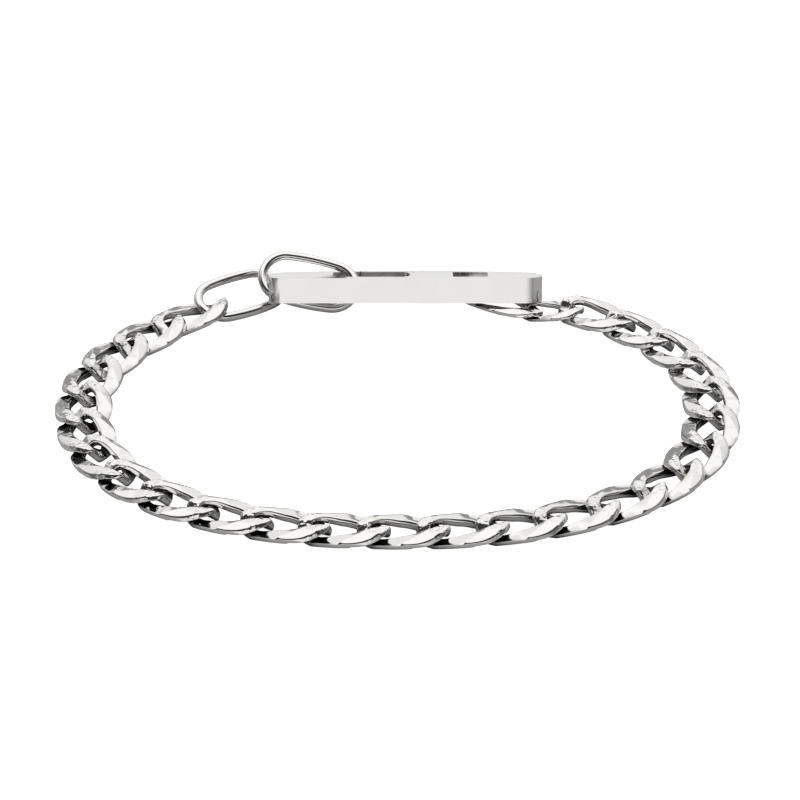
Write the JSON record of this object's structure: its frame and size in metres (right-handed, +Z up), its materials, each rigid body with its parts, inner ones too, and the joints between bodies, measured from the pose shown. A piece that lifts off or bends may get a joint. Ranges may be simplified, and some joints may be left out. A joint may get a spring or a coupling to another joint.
{
  "type": "chain bracelet",
  "caption": "Closed bracelet of flat twisted curb links that interlock, joined at the back by oval rings and a long curved snap clasp with a sprung gate.",
  "frame": {"origin": "middle of the whole loop's box, on the surface that the bracelet lies on", "axes": "+Z up out of the surface, +X along the clasp from its ring end to its bar end, +Y from the front of the chain towards the clasp"},
  "size_m": [0.073, 0.0582, 0.0053],
  "materials": {
    "steel": "polished"
  },
  "bodies": {
    "bracelet": {"link_01": "steel", "link_02": "steel", "link_03": "steel", "link_04": "steel", "link_05": "steel", "link_06": "steel", "link_07": "steel", "link_08": "steel", "link_09": "steel", "link_10": "steel", "link_11": "steel", "link_12": "steel", "link_13": "steel", "link_14": "steel", "link_15": "steel", "link_16": "steel", "link_17": "steel", "link_18": "steel", "link_19": "steel", "link_20": "steel", "link_21": "steel", "link_22": "steel", "link_23": "steel", "link_24": "steel", "link_25": "steel", "end_link_1": "steel", "end_link_2": "steel", "oval_ring_a": "steel", "oval_ring_b": "steel", "clasp_frame": "steel", "hinge_pin": "steel"},
    "gate": {"clasp_gate": "steel"}
  },
  "joints": [
    {"name": "gate_hinge", "type": "hinge", "parent": "bracelet", "child": "gate", "pos_m": [0.00215, 0.02701, 0.00171], "axis": [0, 0.3173, 0.9483], "range_deg": [0, 20], "stiffness_Nm_per_rad": 0.01, "springref_deg": -20.05}
  ]
}
